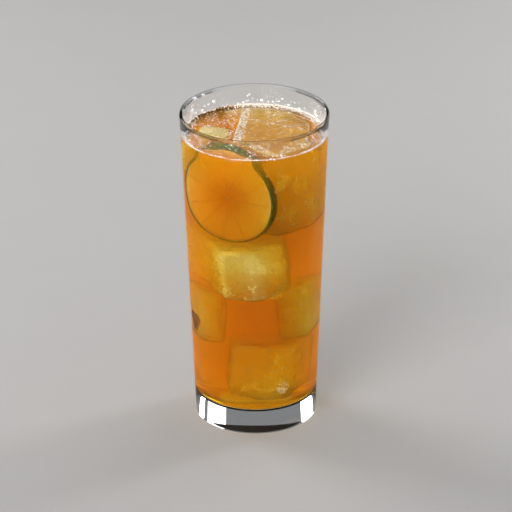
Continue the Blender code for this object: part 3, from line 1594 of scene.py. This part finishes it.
        return [
            wall.build(self.band(0.020, level - 0.0005, 0.0004, self.at_wall, 60), bubble),
            surface.build(self.disc(self.on_surface), froth),
            ring.build(self.band(level + 0.0006, level + 0.0012, 0.00035, foam, 2), froth),
            drops.build(self.band(level + 0.0015, level + 0.0080, 0.0001, splash, 6), drop),
            flecks.build(self.cracks(), cloud),
        ]


@dataclass
class DarkSliver:
    """A dark sliver that lies flat against the left wall."""

    glass: Tumbler
    finish: DarkSliverFinish = DarkSliverFinish()
    angle: float = math.radians(196.5)
    height: float = 0.0506
    half_width: float = 0.0042
    half_height: float = 0.0049
    thickness: float = 0.00035
    inset: float = 0.0006

    def build(self) -> bpy.types.Object:
        """Returns the sliver as a thin closed sheet, bent along the wall and curled at its edge."""
        shape = bmesh.new()
        rings, steps = 8, 36
        sides = []
        for side in (0, 1):
            grid = []
            for ring in range(1, rings + 1):
                share = ring / rings
                line = []
                for step in range(steps):
                    turn = 2 * math.pi * step / steps
                    wavy = 1 + 0.10 * math.sin(3 * turn + 0.6) + 0.05 * math.sin(7 * turn)
                    across = self.half_width * share * wavy * math.cos(turn)
                    up = self.half_height * share * wavy * math.sin(turn)
                    curl = 0.0009 * share**4 * (1 + math.sin(2 * turn))
                    line.append(shape.verts.new(self.on_wall(across, up, curl + side * self.thickness)))
                grid.append(line)
            centre = shape.verts.new(self.on_wall(0.0, 0.0, side * self.thickness))
            sides.append((centre, grid))
        for side, (centre, grid) in enumerate(sides):
            for step in range(steps):
                after = (step + 1) % steps
                fan = [centre, grid[0][step], grid[0][after]]
                shape.faces.new(fan if side else fan[::-1])
                for inner, outer in zip(grid, grid[1:]):
                    face = [inner[step], outer[step], outer[after], inner[after]]
                    shape.faces.new(face if side else face[::-1])
        outer_edge, inner_edge = sides[0][1][-1], sides[1][1][-1]
        for step in range(steps):
            after = (step + 1) % steps
            shape.faces.new((outer_edge[step], outer_edge[after], inner_edge[after], inner_edge[step]))
        bmesh.ops.recalc_face_normals(shape, faces=shape.faces)
        return finished("wall_sliver", shape, self.finish.make())

    def on_wall(self, across: float, up: float, away: float) -> Vector:
        """Returns a point beside the wall, the given way across, up and inwards."""
        height = self.height + up
        radius = self.glass.inner(height) - self.inset - away
        angle = self.angle + across / radius
        return Vector((radius * math.cos(angle), radius * math.sin(angle), height))


# Studio


@dataclass(frozen=True)
class Lamp:
    """A soft rectangular light."""

    name: str
    place: Triple
    size: Pair
    power: float
    colour: Colour = (1.0, 0.98, 0.96)

    def build(self, aim: Vector) -> None:
        """Adds the light, aimed at a point."""
        data = bpy.data.lights.new(self.name, "AREA")
        data.shape = "RECTANGLE"
        data.size, data.size_y = self.size
        data.energy = self.power
        data.color = self.colour
        item = bpy.data.objects.new(self.name, data)
        bpy.context.scene.collection.objects.link(item)
        item.location = self.place
        item.rotation_euler = (aim - Vector(self.place)).to_track_quat("-Z", "Y").to_euler()


@dataclass
class Studio:
    """Pale floor, soft lights and the camera."""

    distance: float = 2.0
    elevation: float = math.radians(25.1)
    aim: Vector = field(default_factory=lambda: Vector((0.0004, 0.0, 0.0800)))
    roll: float = math.radians(0.33)
    lens: float = 298.0
    floor_size: float = 12.0
    sky: Colour = (0.95, 0.97, 1.0)
    sky_low: float = 0.45
    sky_from: float = 0.40
    sky_to: float = 0.80
    sky_strength: float = 0.42
    lamps: tuple[Lamp, ...] = (
        Lamp("left", (-0.68, 0.52, 0.48), (0.40, 0.60), 5.8),
        Lamp("right", (0.66, 0.42, 0.36), (0.16, 0.60), 3.8),
        Lamp("behind", (0.48, 0.72, 0.46), (0.34, 0.55), 1.6),
        Lamp("front", (-0.50, -0.90, 0.75), (0.60, 0.60), 11.0),
    )

    def floor(self) -> bpy.types.Object:
        """Returns the floor, which isn't part of the drink."""
        bpy.ops.mesh.primitive_plane_add(size=self.floor_size)
        plane = bpy.context.object
        plane.name = "floor"
        plane.location.z = -0.0001
        plane.data.materials.append(StudioFloor().make())
        return plane

    def camera(self) -> None:
        """Adds the camera at the photo's viewing angle."""
        data = bpy.data.cameras.new("camera")
        data.lens = self.lens
        data.sensor_width = 36.0
        item = bpy.data.objects.new("camera", data)
        bpy.context.scene.collection.objects.link(item)
        away = Vector((0.0, -math.cos(self.elevation), math.sin(self.elevation)))
        item.location = self.aim + away * self.distance
        tilt = Euler((math.pi / 2 - self.elevation, 0.0, 0.0)).to_matrix()
        item.rotation_euler = (tilt @ Matrix.Rotation(-self.roll, 3, "Z")).to_euler()
        bpy.context.scene.camera = item

    def sky_world(self) -> bpy.types.World:
        """Returns the sky, darker near the ground."""
        world = bpy.data.worlds.new("studio")
        world.use_nodes = True
        tree = world.node_tree
        background = tree.nodes["Background"]
        background.inputs["Strength"].default_value = self.sky_strength
        way = wired(tree, "ShaderNodeTexCoord").outputs["Generated"]
        parts = wired(tree, "ShaderNodeSeparateXYZ", Vector=way)
        ramp = wired(tree, "ShaderNodeValToRGB", Fac=parts.outputs["Z"])
        darker = tuple(self.sky_low * part for part in self.sky)
        set_stops(ramp, [(self.sky_from, darker), (self.sky_to, self.sky)])
        tree.links.new(ramp.outputs["Color"], background.inputs["Color"])
        return world

    def build(self) -> None:
        """Adds the floor, the sky, the lights and the camera."""
        scene = bpy.context.scene
        self.floor()
        scene.world = self.sky_world()
        for lamp in self.lamps:
            lamp.build(self.aim)
        self.camera()
        scene.cycles.volume_bounces = 3
        scene.view_settings.view_transform = "Standard"


def main() -> None:
    """Builds every piece in order and reports it."""
    logging.basicConfig(level=logging.INFO, format="%(name)s: %(message)s")
    noise.seed_set(NOISE_SEED)
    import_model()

    glass = Tumbler()
    drink = Punch(glass)
    ice = Ice(drink.level)
    lime = LimeWheel(drink.level)
    tumbler = glass.build()
    ice_pieces = ice.build()
    lime_pieces = lime.build()
    punch = drink.build(ice, ice_pieces)
    dark_sliver = DarkSliver(glass).build()
    sparkle = Sparkle(glass, drink, ice).build()

    pieces = [tumbler, punch, *ice_pieces.values(), *lime_pieces.values(), dark_sliver, *sparkle]
    for piece in pieces:
        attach(piece, BODY)
        LOG.info("%s has %d faces", piece.name, len(piece.data.polygons))
    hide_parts("glass")
    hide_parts("punch")
    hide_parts("ice_block")
    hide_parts("lime_wheel")

    Studio().build()


if __name__ == "__main__":
    main()
